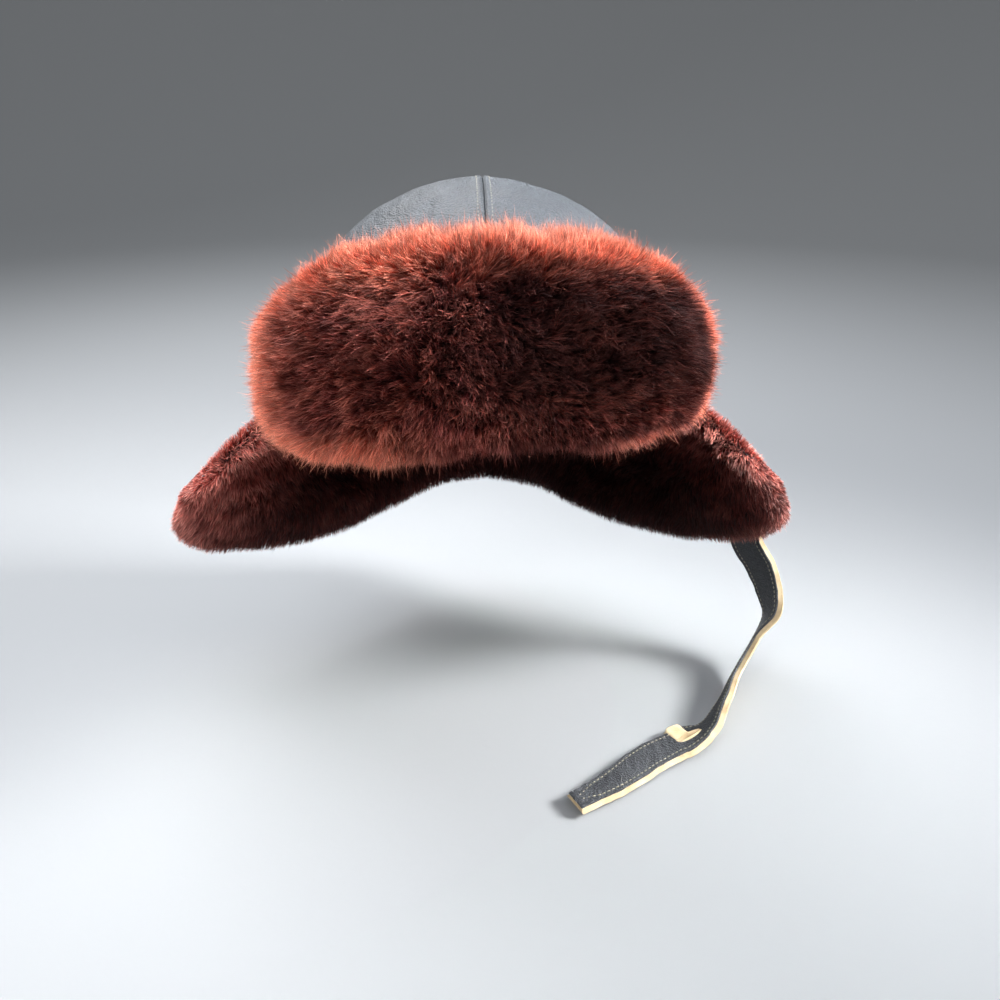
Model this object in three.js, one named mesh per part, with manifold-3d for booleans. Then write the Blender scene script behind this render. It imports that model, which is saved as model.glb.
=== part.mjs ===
// Earflap hat: a leather crown sewn from two panels, a turned-up visor faced with deep fur,
// two leather ear-and-neck flaps lined with the same fur, a button and a slit chin strap.
// Millimetres, +Z up, the wearer faces -Y. The origin is where the top of the head
// touches the inside of the crown. "Left" is -X and "right" is +X, as seen from in front.
import * as THREE from "three";
import { mergeVertices } from "three/addons/utils/BufferGeometryUtils.js";
import Module from "manifold-3d";

const wasm = await Module();
wasm.setup();

const touchGap = 0.3; // between pieces that are sewn face to face
const seamGap = 0.4; // between the two halves of a centre seam

// Crown: half an ellipsoid on a short upright wall, for a 58 cm head.
const crown = {
  halfWidth: 88,
  halfLength: 102,
  domeHeight: 75,
  wall: 3,
  edgeMiddle: -100, // height of the lower edge at mid length
  edgeSlope: 0.12, // the edge is higher at the brow and lower at the nape
  seamDip: 0.8,
  seamDipWidth: 5,
  columns: 18,
  rows: 12,
};
const widestZ = crown.wall - crown.domeHeight;

// Soft dents of the crown leather: place on the plan, depth and radius.
const crownDents = [
  { x: -38, y: -46, depth: 1.6, radius: 17 },
  { x: 34, y: -52, depth: 1.4, radius: 15 },
  { x: 30, y: 18, depth: 2.0, radius: 24 },
  { x: -46, y: 34, depth: 1.8, radius: 22 },
  { x: -8, y: 62, depth: 1.5, radius: 20 },
];

// Visor: a hide panel turned up over the brow, and the pile on it.
const hide = { clearance: 0.6, wall: 2.2, lipDepth: 5, endAngle: 70, columns: 24, rows: 5 };

// One row for each meridian of the visor's fur, by angle from the front (+ is right):
// the lowest and highest level that the pile reaches, and its depth over the hide.
const visorSections = [
  { angle: -80, bottom: -87, top: -79, depth: 4 },
  { angle: -76, bottom: -93, top: -65, depth: 16 },
  { angle: -70, bottom: -111, top: -53, depth: 24.5 },
  { angle: -58, bottom: -111, top: -38, depth: 27 },
  { angle: -40, bottom: -105, top: -21, depth: 32.5 },
  { angle: -20, bottom: -100, top: -15, depth: 26.5 },
  { angle: 0, bottom: -93, top: -13, depth: 27 },
  { angle: 20, bottom: -95, top: -15, depth: 28 },
  { angle: 40, bottom: -97, top: -20, depth: 33 },
  { angle: 58, bottom: -101, top: -37, depth: 26.5 },
  { angle: 70, bottom: -103, top: -51, depth: 21 },
  { angle: 76, bottom: -93, top: -64, depth: 15 },
  { angle: 80, bottom: -87, top: -79, depth: 4 },
];
const visorPile = { columns: 44, rows: 15, squareness: 3.6, overhang: 11, lean: 0.3, sideLean: -0.15, lock: 3.2 };

// Ear-and-neck flap, right side: one row for each meridian, by angle from the front.
// x, y, z is the free edge; drop and out say how far the panel hangs straight, and how far
// it already stands out, before it turns towards that edge.
const flapSections = [
  { angle: 76, x: 168, y: -4, z: -160, drop: 11, out: 27 },
  { angle: 82, x: 176, y: 0, z: -174, drop: 15, out: 23 },
  { angle: 88, x: 177, y: 4, z: -187, drop: 20, out: 16 },
  { angle: 94, x: 169, y: 10, z: -197, drop: 28, out: 8 },
  { angle: 101, x: 155, y: 20, z: -204, drop: 36, out: 2 },
  { angle: 110, x: 132, y: 34, z: -209, drop: 44, out: 0 },
  { angle: 124, x: 100, y: 56, z: -211, drop: 48, out: 0 },
  { angle: 140, x: 70, y: 81, z: -207, drop: 48, out: 0 },
  { angle: 160, x: 37, y: 105, z: -201, drop: 46, out: 0 },
  { angle: 180, x: 0, y: 113, z: -198, drop: 44, out: 0 },
];
const flap = { wall: 2, overlap: 3, columns: 24, rows: 12 };
const flapPile = { depth: 13, pastFront: 11, pastEnd: 14, squareness: 2.6, lock: 2.6, topInset: 5 };

// Button that the strap's slit closes on, on the leather side of the left flap.
const button = { radius: 8, thickness: 3.6, rim: 1.2, angle: 90, along: 0.8 };

// Chin strap, sewn to the leather side of the right flap: the places of its seam on the
// flap, then one row for each bend. x, y, z is the middle line of its back, and acrossX,
// acrossY, acrossZ points from its near edge to its far edge.
const strapSeam = [
  { angle: 88, along: 0.86 },
  { angle: 90.5, along: 0.9 },
  { angle: 93.5, along: 0.95 },
  { angle: 97, along: 1.015 },
];
const strapBends = [
  { x: 172, y: 22.5, z: -219, acrossX: -0.88, acrossY: 0.48, acrossZ: -0.1 },
  { x: 182, y: 17, z: -235, acrossX: -0.8, acrossY: 0.58, acrossZ: -0.15 },
  { x: 189.7, y: 11, z: -252, acrossX: -0.5, acrossY: 0.8, acrossZ: -0.34 },
  { x: 191, y: 2, z: -263.5, acrossX: -0.08, acrossY: 0.84, acrossZ: -0.5 },
  { x: 180.2, y: -6.8, z: -280, acrossX: 0.34, acrossY: 0.74, acrossZ: -0.58 },
  { x: 162.1, y: -26, z: -293.6, acrossX: 0.33, acrossY: 0.76, acrossZ: -0.56 },
  { x: 146, y: -49.5, z: -296.2, acrossX: 0.26, acrossY: 0.8, acrossZ: -0.54 },
  { x: 130.6, y: -67, z: -299.8, acrossX: 0.06, acrossY: 0.88, acrossZ: -0.47 },
  { x: 112, y: -74, z: -303, acrossX: -0.38, acrossY: 0.91, acrossZ: -0.12 },
  { x: 93, y: -83, z: -303.5, acrossX: -0.44, acrossY: 0.9, acrossZ: 0 },
  { x: 66, y: -101.5, z: -303.5, acrossX: -0.45, acrossY: 0.89, acrossZ: 0 },
  { x: 44.3, y: -113.7, z: -303.5, acrossX: -0.5, acrossY: 0.86, acrossZ: 0 },
];
const strap = {
  width: 18,
  tipWidth: 12,
  tipLength: 50,
  bevel: 1.4, // how far the raw back stands out past the dyed face
  seamGap: 1.9, // between its face and the mean surface of the flap, which is a little hollow
  bulge: 3, // extra width where the slit stands open
  stations: 50,
  core: { from: 0, to: 3.3 },
  face: { from: 3.6, to: 5 },
  slit: { middle: 0.725, length: 20, width: 3.8 },
};

const leather = new THREE.MeshStandardMaterial({ color: 0x3b3e42, roughness: 0.5, metalness: 0 });
const fur = new THREE.MeshStandardMaterial({ color: 0x4a1d15, roughness: 0.95, metalness: 0 });
const rawHide = new THREE.MeshStandardMaterial({ color: 0x8a5a3c, roughness: 0.9, metalness: 0 });
const rawEdge = new THREE.MeshStandardMaterial({ color: 0xc9ab80, roughness: 0.85, metalness: 0 });

const radians = THREE.MathUtils.degToRad;

// A row of a table at any value of its first column, on a smooth curve through the rows.
function rowAt(table, value) {
  const key = Object.keys(table[0])[0];
  const last = table.length - 1;
  let i = 0;
  while (i < last - 1 && value > table[i + 1][key]) i++;
  const [a, b] = [table[i], table[i + 1]];
  const span = b[key] - a[key];
  const f = (value - a[key]) / span;
  const row = {};
  for (const column of Object.keys(a)) {
    const slope = (k) => {
      const [p, q] = [table[Math.max(k - 1, 0)], table[Math.min(k + 1, last)]];
      return (q[column] - p[column]) / (q[key] - p[key]);
    };
    if (f < 0 || f > 1) {
      const end = f < 0 ? a : b;
      row[column] = end[column] + slope(f < 0 ? i : i + 1) * (value - end[key]);
      continue;
    }
    const [m0, m1] = [slope(i) * span, slope(i + 1) * span];
    const [f2, f3] = [f * f, f * f * f];
    row[column] =
      (2 * f3 - 3 * f2 + 1) * a[column] + (f3 - 2 * f2 + f) * m0 + (3 * f2 - 2 * f3) * b[column] + (f3 - f2) * m1;
  }
  return row;
}

// A closed solid between two grids of points of the same size, joined along their four borders.
// Corners that fall on one point, as at a pole, lose their empty triangles.
function slab(outer, inner) {
  const [rows, columns] = [outer.length, outer[0].length];
  const corners = [];
  const quad = (a, b, c, d) => corners.push(a, b, c, a, c, d);
  for (let i = 0; i < rows - 1; i++)
    for (let j = 0; j < columns - 1; j++) {
      quad(outer[i][j], outer[i + 1][j], outer[i + 1][j + 1], outer[i][j + 1]);
      quad(inner[i][j], inner[i][j + 1], inner[i + 1][j + 1], inner[i + 1][j]);
    }
  for (let i = 0; i < rows - 1; i++)
    for (const [j, turned] of [[0, false], [columns - 1, true]]) {
      const [a, b, c, d] = [outer[i][j], inner[i][j], inner[i + 1][j], outer[i + 1][j]];
      turned ? quad(a, d, c, b) : quad(a, b, c, d);
    }
  for (let j = 0; j < columns - 1; j++)
    for (const [i, turned] of [[0, true], [rows - 1, false]]) {
      const [a, b, c, d] = [outer[i][j], inner[i][j], inner[i][j + 1], outer[i][j + 1]];
      turned ? quad(a, d, c, b) : quad(a, b, c, d);
    }
  return closed(corners);
}

// Geometry from a list of triangle corners, with shared vertices merged, empty triangles
// dropped and the faces turned to point out.
function closed(corners) {
  const loose = new THREE.BufferGeometry().setFromPoints(corners);
  const merged = mergeVertices(loose, 1e-3);
  const index = merged.index.array;
  const kept = [];
  for (let i = 0; i < index.length; i += 3) {
    const [a, b, c] = [index[i], index[i + 1], index[i + 2]];
    if (a !== b && b !== c && c !== a) kept.push(a, b, c);
  }
  const position = merged.getAttribute("position");
  const corner = (k) => new THREE.Vector3().fromBufferAttribute(position, k);
  let volume = 0;
  for (let i = 0; i < kept.length; i += 3)
    volume += corner(kept[i]).dot(corner(kept[i + 1]).cross(corner(kept[i + 2])));
  if (volume < 0) for (let i = 0; i < kept.length; i += 3) [kept[i], kept[i + 1]] = [kept[i + 1], kept[i]];
  merged.setIndex(kept);
  return merged;
}

function solid(geometry) {
  const bare = mergeVertices(geometry, 1e-4);
  return new wasm.Manifold(
    new wasm.Mesh({
      numProp: 3,
      vertProperties: new Float32Array(bare.getAttribute("position").array),
      triVerts: new Uint32Array(bare.index.array),
    }),
  );
}

function geometryOf(manifold) {
  const { vertProperties, triVerts, numProp } = manifold.getMesh();
  const corners = [];
  for (const k of triVerts) corners.push(new THREE.Vector3().fromArray(vertProperties, k * numProp));
  return closed(corners);
}

function node(name, geometry, material) {
  geometry.computeVertexNormals();
  const mesh = new THREE.Mesh(geometry, material);
  mesh.name = name;
  return mesh;
}

const mirrored = (point, side) => new THREE.Vector3(point.x * side, point.y, point.z);

// A small repeatable variation between 0 and 1 for each lock of fur.
const scatter = (i, j) => {
  const wave = Math.sin(i * 12.9898 + j * 78.233) * 43758.5453;
  return wave - Math.floor(wave);
};

const edgeZ = (y) => crown.edgeMiddle - crown.edgeSlope * y;

// A point of the crown by angle from the front: t runs from 0 at the apex to 1 at the
// widest level and 2 at the lower edge, and outward moves off the outer face.
function crownPoint(angle, t, outward) {
  const tilt = (Math.min(t, 1) * Math.PI) / 2;
  const x = (crown.halfWidth + outward) * Math.sin(tilt) * Math.sin(angle);
  const y = -(crown.halfLength + outward) * Math.sin(tilt) * Math.cos(angle);
  const dome = widestZ + (crown.domeHeight + outward) * Math.cos(tilt);
  const edge = edgeZ(-crown.halfLength * Math.cos(angle));
  const z = t <= 1 ? dome : widestZ + (t - 1) * (edge - widestZ);
  return new THREE.Vector3(x, y, z);
}

// How far the leather sinks at a place of the plan: along the centre seam and in the dents.
function crownSink(x, y) {
  let sink = crown.seamDip * Math.exp(-((x / crown.seamDipWidth) ** 2));
  for (const dent of crownDents)
    sink += dent.depth * Math.exp(-((x - dent.x) ** 2 + (y - dent.y) ** 2) / dent.radius ** 2);
  return sink;
}

// One half of the crown, from the centre seam at the brow round to the seam at the nape.
function crownPanel(side) {
  const sheet = (outward) =>
    Array.from({ length: crown.columns + 1 }, (_, i) => {
      const across = i / crown.columns;
      const angle = Math.PI * across;
      return Array.from({ length: crown.rows + 1 }, (_, j) => {
        const t = (2 * j) / crown.rows;
        const plain = crownPoint(angle, t, outward);
        const sink = t < 1 ? crownSink(side * plain.x, plain.y) : crownSink(side * plain.x, plain.y) * (2 - t);
        return mirrored(crownPoint(angle, t, outward - sink), side);
      });
    });
  const mesh = node(side < 0 ? "crown_panel_left" : "crown_panel_right", slab(sheet(0), sheet(-crown.wall)), leather);
  mesh.position.x = (side * seamGap) / 2;
  return mesh;
}

// A place on or off the crown at a level, with the direction that faces away from it.
function overCrown(angle, z, outward) {
  const [a, b, c] = [crown.halfWidth + outward, crown.halfLength + outward, crown.domeHeight + outward];
  const rise = Math.max(0, z - widestZ) / c;
  const inset = Math.sqrt(Math.max(0, 1 - rise * rise));
  const point = new THREE.Vector3(a * inset * Math.sin(angle), -b * inset * Math.cos(angle), z);
  const normal = new THREE.Vector3(point.x / a ** 2, point.y / b ** 2, rise / c).normalize();
  return { point, normal };
}

// The visor's hide: it starts under the brow edge of the crown and turns up over it.
function visorHide() {
  const line = (angle, thick) => {
    const row = rowAt(visorSections, THREE.MathUtils.radToDeg(angle));
    const fold = edgeZ(-crown.halfLength * Math.cos(angle)) - touchGap;
    const top = row.top - visorPile.overhang;
    const points = [overCrown(angle, fold - (thick ? hide.wall : 0), -hide.lipDepth).point];
    const outward = hide.clearance + (thick ? hide.wall : 0);
    for (let j = 0; j <= hide.rows; j++) {
      const z = THREE.MathUtils.lerp(fold - (thick ? hide.wall : 0), top, j / hide.rows);
      points.push(overCrown(angle, z, outward).point);
    }
    return points;
  };
  const columns = Array.from({ length: hide.columns + 1 }, (_, i) =>
    radians(THREE.MathUtils.lerp(-hide.endAngle, hide.endAngle, i / hide.columns)),
  );
  return node("visor_hide", slab(columns.map((a) => line(a, true)), columns.map((a) => line(a, false))), rawHide);
}

// Locks stand in brick order, each one a peak with low places all round it.
const isLock = (i, j) => i % 2 === 1 && (j + ((i - 1) / 2)) % 2 === 0;

// How far the pile stands over or under its mean surface at a place of its grid.
const lockHeight = (i, j) => (isLock(i, j) ? 0.7 + 0.7 * scatter(i, j) : -0.35);

// The visor's pile: a bulging band whose locks lean out and up. Each section is half a
// squared ellipse from its lowest to its highest level.
function visorFur() {
  const { columns, rows, squareness, lean, sideLean, lock } = visorPile;
  const back = hide.clearance + hide.wall + touchGap;
  const first = visorSections[0].angle;
  const last = visorSections.at(-1).angle;
  const [outer, inner] = [[], []];
  for (let i = 0; i <= columns; i++) {
    const across = i / columns;
    const eased = across - Math.sin(2 * Math.PI * across) * 0.035;
    const row = rowAt(visorSections, THREE.MathUtils.lerp(first, last, eased));
    const angle = radians(row.angle);
    const [middle, half] = [(row.top + row.bottom) / 2, (row.top - row.bottom) / 2];
    outer.push([]);
    inner.push([]);
    for (let j = 0; j <= rows; j++) {
      const turn = Math.PI * (j / rows - 0.5);
      const up = Math.sign(Math.sin(turn)) * Math.abs(Math.sin(turn)) ** (2 / squareness);
      const bulge = Math.abs(Math.cos(turn)) ** (2 / squareness);
      const base = overCrown(angle, middle + half * up, back);
      const away = new THREE.Vector3(base.normal.x, base.normal.y, 0).normalize();
      away.z = THREE.MathUtils.lerp(lean, sideLean, Math.sin(angle) ** 2);
      away.normalize();
      const brim = i === 0 || i === columns || j === 0 || j === rows;
      const point = base.point.clone();
      if (!brim) {
        point.addScaledVector(away, row.depth * bulge);
        away.z += 0.5 * Math.sin(turn);
        point.addScaledVector(away.normalize(), lock * lockHeight(i, j));
      }
      outer.at(-1).push(point);
      inner.at(-1).push(overCrown(angle, THREE.MathUtils.lerp(row.bottom, row.top, j / rows), back).point);
    }
  }
  return slab(outer, inner);
}

// A place of the right flap's mid surface: angle from the front, and along from 0 just over
// the crown's edge to 1 at the free edge, on a curve that drops first and then turns out.
function flapPoint(angle, along) {
  const row = rowAt(flapSections, angle);
  const edge = edgeZ(-crown.halfLength * Math.cos(radians(angle)));
  const start = overCrown(radians(angle), edge + flap.overlap, touchGap + flap.wall / 2).point;
  const spread = new THREE.Vector3(start.x, start.y, 0).setLength(row.out);
  const bend = start.clone().add(spread);
  bend.z -= row.drop;
  const rest = 1 - along;
  return new THREE.Vector3(0, 0, 0)
    .addScaledVector(start, rest * rest)
    .addScaledVector(bend, 2 * rest * along)
    .addScaledVector(new THREE.Vector3(row.x, row.y, row.z), along * along);
}

// The direction in which the flap's fur side faces at a place.
function flapNormal(angle, along) {
  const [turn, step] = [1, 0.02];
  const around = flapPoint(angle + turn, along).sub(flapPoint(angle - turn, along));
  const down = flapPoint(angle, along + step).sub(flapPoint(angle, along - step));
  return around.cross(down).normalize();
}

const flapPlace = (angle, along, offset) => flapPoint(angle, along).addScaledVector(flapNormal(angle, along), offset);

// Points of a flap stay on their own side of the seam at the nape.
const besideSeam = (point) => new THREE.Vector3(Math.max(point.x, 0), point.y, point.z);

// Meridians of a flap's grid, closer together at the ear than at the nape.
const flapAngle = (across) =>
  THREE.MathUtils.lerp(flapSections[0].angle, flapSections.at(-1).angle, across ** 1.25);

function flapLeather(side) {
  const sheet = (offset) =>
    Array.from({ length: flap.columns + 1 }, (_, i) => {
      const angle = flapAngle(i / flap.columns);
      return Array.from({ length: flap.rows + 1 }, (_, j) =>
        mirrored(besideSeam(flapPlace(angle, j / flap.rows, offset)), side),
      );
    });
  const mesh = node(side < 0 ? "flap_left" : "flap_right", slab(sheet(-flap.wall / 2), sheet(flap.wall / 2)), leather);
  mesh.position.x = (side * seamGap) / 2;
  return mesh;
}

// Rounds the pile off towards a border: 0 at the border and 1 past a share of the way in.
const roundedOff = (share, reach, squareness) =>
  share >= reach ? 1 : (1 - (1 - share / reach) ** squareness) ** (1 / squareness);

// The pile of a flap: a pad over its inner face that swells past the front and free edges.
function flapFur(side) {
  const { depth, pastFront, pastEnd, squareness, lock, topInset } = flapPile;
  const base = flap.wall / 2 + touchGap;
  const [outer, inner] = [[], []];
  for (let i = 0; i <= flap.columns; i++) {
    const across = i / flap.columns;
    const angle = flapAngle(across);
    const length = flapPoint(angle, 0).distanceTo(flapPoint(angle, 1));
    outer.push([]);
    inner.push([]);
    for (let j = 0; j <= flap.rows; j++) {
      const down = j / flap.rows;
      const along = THREE.MathUtils.lerp(topInset / length, 1, down);
      const forward = flapPoint(angle - 1, along).sub(flapPoint(angle + 1, along)).normalize();
      const low = flapPoint(angle, along).sub(flapPoint(angle, along - 0.04)).normalize();
      const height =
        roundedOff(across, 0.1, squareness) *
        roundedOff(1 - down, 0.2, squareness) *
        (0.25 + 0.75 * roundedOff(down, 0.35, squareness));
      const brim = i === 0 || i === flap.columns || j === 0 || j === flap.rows;
      const point = flapPlace(angle, along, base);
      inner.at(-1).push(mirrored(besideSeam(point), side));
      if (!brim) {
        point.addScaledVector(flapNormal(angle, along), depth * height + lock * lockHeight(i, j));
        const nearFront = 1 - THREE.MathUtils.smoothstep(across, 0.02, 0.18);
        point.addScaledVector(forward, pastFront * nearFront * THREE.MathUtils.smoothstep(down, 0, 0.3));
        point.addScaledVector(low, pastEnd * THREE.MathUtils.smoothstep(down, 0.6, 0.95));
      }
      outer.at(-1).push(mirrored(besideSeam(point), side));
    }
  }
  return slab(outer, inner).translate((side * seamGap) / 2, 0, 0);
}

// The strap's middle line and the direction across it, from its sewn end to its tip.
function strapRoute() {
  const lift = flap.wall / 2 + strap.seamGap + strap.face.to;
  const sewn = strapSeam.map(({ angle, along }) => {
    const across = flapPoint(angle, along - 0.07).sub(flapPoint(angle, along + 0.07)).normalize();
    const place = flapPlace(angle, along, -lift);
    place.x += seamGap / 2;
    return { place, across };
  });
  const hanging = strapBends.map((bend) => ({
    place: new THREE.Vector3(bend.x, bend.y, bend.z),
    across: new THREE.Vector3(bend.acrossX, bend.acrossY, bend.acrossZ).normalize(),
  }));
  const all = [...sewn, ...hanging];
  return {
    places: new THREE.CatmullRomCurve3(all.map((p) => p.place), false, "centripetal"),
    directions: new THREE.CatmullRomCurve3(all.map((p) => p.across), false, "centripetal"),
  };
}

const route = strapRoute();
const strapLength = route.places.getLength();

// A station of the strap: its place, its directions along, across and out of its face.
function strapStation(share) {
  const u = route.places.getUtoTmapping(share);
  const along = route.places.getTangent(u);
  const out = new THREE.Vector3().crossVectors(route.directions.getPoint(u), along).normalize();
  const across = new THREE.Vector3().crossVectors(along, out).normalize();
  return { place: route.places.getPoint(u), across, out };
}

const slitShape = (share) => {
  const off = ((share - strap.slit.middle) * strapLength) / (strap.slit.length / 2);
  return Math.abs(off) < 1 ? Math.sqrt(1 - off * off) : 0;
};

function strapWidth(share) {
  const left = (1 - share) * strapLength;
  const taper = THREE.MathUtils.smoothstep(left, 0, strap.tipLength);
  return THREE.MathUtils.lerp(strap.tipWidth, strap.width, taper) + strap.bulge * slitShape(share);
}

// One layer of the strap between two heights over its back, with the slit cut through it.
// The raw edge slopes from the width of the back to the width of the face.
function strapLayer({ from, to }) {
  const sheet = (height) =>
    Array.from({ length: strap.stations + 1 }, (_, i) => {
      const share = i / strap.stations;
      const { place, across, out } = strapStation(share);
      const half = strapWidth(share) / 2 + strap.bevel * Math.max(0, 1 - height / strap.core.to);
      return [-1, 0, 1].map((k) => place.clone().addScaledVector(across, k * half).addScaledVector(out, height));
    });
  const cutter = (height) =>
    Array.from({ length: 11 }, (_, i) => {
      const off = -1 + i / 5;
      const share = strap.slit.middle + (off * strap.slit.length) / 2 / strapLength;
      const { place, across, out } = strapStation(share);
      const half = (strap.slit.width / 2) * Math.sqrt(1 - off * off) + 0.1;
      return [-1, 1].map((k) => place.clone().addScaledVector(across, k * half).addScaledVector(out, height));
    });
  const band = solid(slab(sheet(to), sheet(from)));
  return geometryOf(band.subtract(solid(slab(cutter(to + 2), cutter(from - 2)))));
}

// The button: a low domed disc turned on its axis, flat against the leather.
function flapButton() {
  const { radius, thickness, rim, angle, along } = button;
  const profile = [
    new THREE.Vector2(0, 0),
    new THREE.Vector2(radius - rim, 0),
    new THREE.Vector2(radius, rim),
    new THREE.Vector2(radius - rim / 2, thickness * 0.75),
    new THREE.Vector2(radius * 0.55, thickness),
    new THREE.Vector2(0, thickness),
  ];
  const mesh = node("flap_button", closed(cornersOf(new THREE.LatheGeometry(profile, 20))), leather);
  const place = flapPlace(angle, along, -flap.wall / 2 - touchGap - 0.2);
  const away = flapNormal(angle, along).negate();
  mesh.position.copy(mirrored(place, -1)).add(new THREE.Vector3(-seamGap / 2, 0, 0));
  mesh.quaternion.setFromUnitVectors(new THREE.Vector3(0, 1, 0), mirrored(away, -1));
  return mesh;
}

function cornersOf(geometry) {
  const loose = geometry.toNonIndexed().getAttribute("position");
  return Array.from({ length: loose.count }, (_, k) => new THREE.Vector3().fromBufferAttribute(loose, k));
}

const hat = new THREE.Group();
for (const side of [-1, 1]) {
  hat.add(crownPanel(side));
  hat.add(flapLeather(side));
  hat.add(node(side < 0 ? "flap_fur_left" : "flap_fur_right", flapFur(side), fur));
}
hat.add(visorHide());
hat.add(node("visor_fur", visorFur(), fur));
hat.add(node("chin_strap_core", strapLayer(strap.core), rawEdge));
hat.add(node("chin_strap_face", strapLayer(strap.face), leather));
hat.add(flapButton());

export default hat;
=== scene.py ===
import bpy
import bmesh
import mathutils
import numpy as np
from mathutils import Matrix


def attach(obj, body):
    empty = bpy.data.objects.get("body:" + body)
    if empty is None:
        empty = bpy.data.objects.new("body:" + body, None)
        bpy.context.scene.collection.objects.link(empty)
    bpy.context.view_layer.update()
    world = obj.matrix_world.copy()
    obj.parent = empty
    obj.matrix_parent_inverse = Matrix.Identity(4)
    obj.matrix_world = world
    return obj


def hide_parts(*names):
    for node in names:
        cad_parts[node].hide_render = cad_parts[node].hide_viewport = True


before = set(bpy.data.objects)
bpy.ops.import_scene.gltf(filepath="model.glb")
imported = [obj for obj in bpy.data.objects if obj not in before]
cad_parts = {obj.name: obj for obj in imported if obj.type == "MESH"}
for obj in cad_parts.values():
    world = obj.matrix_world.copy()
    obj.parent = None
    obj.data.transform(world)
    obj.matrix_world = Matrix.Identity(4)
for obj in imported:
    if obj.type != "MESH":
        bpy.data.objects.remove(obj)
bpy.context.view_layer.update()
print("frame loaded")

# Lengths are worked out in millimetres, with +Z up and the wearer facing -Y, and turned to
# metres as they enter a mesh. Angles round the hat run from the front, + to the right.

millimetre = 0.001
touchGap = 0.3
seamGap = 0.4
sideNames = {-1: "left", 1: "right"}


# Small numpy helpers.

def ontoSide(points, side):
    # from the right half of the hat to the given side, clear of the seam
    return points * [side, 1, 1] + [side * seamGap / 2, 0, 0]


def lerp(a, b, f):
    # from a to b by the share f
    return a + (b - a) * f


def smoothstep(x, low, high):
    # 0 below low, 1 above high, and 3f² - 2f³ between
    f = np.clip((x - low) / (high - low), 0, 1)
    return f * f * (3 - 2 * f)


def sizeOf(v):
    # root of the sum of squares
    return np.linalg.norm(v, axis=-1)


def unit(v):
    # a vector over its own length
    return v / np.maximum(sizeOf(v)[..., None], 1e-12)


def pointsOf(x, y, z):
    # three arrays as rows of x, y, z
    return np.stack(np.broadcast_arrays(x, y, z), axis=-1)


def shareGrid(across, columns, down, rows):
    # even steps over two ranges, as one grid
    return np.broadcast_arrays(np.linspace(*across, columns)[:, None], np.linspace(*down, rows)[None, :])


def bell(x, width):
    # e to the minus square of x over the width
    return np.exp(-(x / width) ** 2)


def softNoise(x, y, size, seed):
    # random heights on a square lattice of that size, joined by smooth steps: -1 to 1
    table = np.random.default_rng(seed).uniform(-1, 1, (256, 256))
    u, v = np.asarray(x) / size, np.asarray(y) / size
    i, j = np.floor(u).astype(int), np.floor(v).astype(int)
    f, g = smoothstep(u - i, 0, 1), smoothstep(v - j, 0, 1)
    at = lambda a, b: table[(i + a) % 256, (j + b) % 256]
    return lerp(lerp(at(0, 0), at(1, 0), f), lerp(at(0, 1), at(1, 1), f), g)


def rowAt(table, value):
    # cubic through the rows, each slope taken from the two neighbours, straight on past the ends
    table = np.array(table, float)
    value = np.asarray(value, float)
    key = table[:, 0]
    slope = np.empty_like(table)
    slope[1:-1] = (table[2:] - table[:-2]) / (key[2:] - key[:-2])[:, None]
    slope[0] = (table[1] - table[0]) / (key[1] - key[0])
    slope[-1] = (table[-1] - table[-2]) / (key[-1] - key[-2])
    i = np.clip(np.searchsorted(key, value, side="right") - 1, 0, len(key) - 2)
    span = (key[i + 1] - key[i])[..., None]
    f = (value - key[i])[..., None] / span
    h = ((2 * f**3 - 3 * f**2 + 1) * table[i] + (f**3 - 2 * f**2 + f) * slope[i] * span
         + (3 * f**2 - 2 * f**3) * table[i + 1] + (f**3 - f**2) * slope[i + 1] * span)
    before = table[0] + slope[0] * (value - key[0])[..., None]
    after = table[-1] + slope[-1] * (value - key[-1])[..., None]
    h = np.where(f < 0, before, np.where(f > 1, after, h))
    return [h[..., k] for k in range(table.shape[1])]


def edgeRound(distance, radius):
    # how far each face of a sheet closes in as it nears a border: a quarter circle
    d = np.clip(radius - distance, 0, radius)
    return radius - np.sqrt(radius**2 - d**2)


# Colours, nodes and meshes.

def linearColour(hexCode):
    # each sRGB channel through the standard's own curve
    channel = np.array([int(hexCode[k:k + 2], 16) for k in (1, 3, 5)]) / 255
    flat = np.where(channel <= 0.04045, channel / 12.92, ((channel + 0.055) / 1.055) ** 2.4)
    return (*flat.tolist(), 1.0)


def addNode(tree, kind, sockets=None, settings=None, stops=None):
    # an input takes a plain value, an output, or a node, which gives its first output
    node = tree.nodes.new("ShaderNode" + kind)
    for name, value in (settings or {}).items():
        setattr(node, name, value)
    for name, value in (sockets or {}).items():
        if isinstance(value, bpy.types.Node):
            value = value.outputs[0]
        if isinstance(value, bpy.types.NodeSocket):
            tree.links.new(value, node.inputs[name])
        else:
            node.inputs[name].default_value = value
    for k, (place, colour) in enumerate(stops or []):
        ramp = node.color_ramp.elements
        stop = ramp[k] if k < 2 else ramp.new(place)
        stop.position, stop.color = place, linearColour(colour)
    return node


def newMaterial(name):
    # an empty node material and its tree
    material = bpy.data.materials.new(name)
    material.use_nodes = True
    tree = material.node_tree
    tree.nodes.clear()
    return material, tree


def finishMaterial(material, sockets):
    # one Principled shader into the output
    tree = material.node_tree
    addNode(tree, "OutputMaterial", {"Surface": addNode(tree, "BsdfPrincipled", sockets)})
    return material


def newObject(name, data):
    # linked to the scene, at the origin
    made = bpy.data.objects.new(name, data)
    bpy.context.scene.collection.objects.link(made)
    return made


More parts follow.
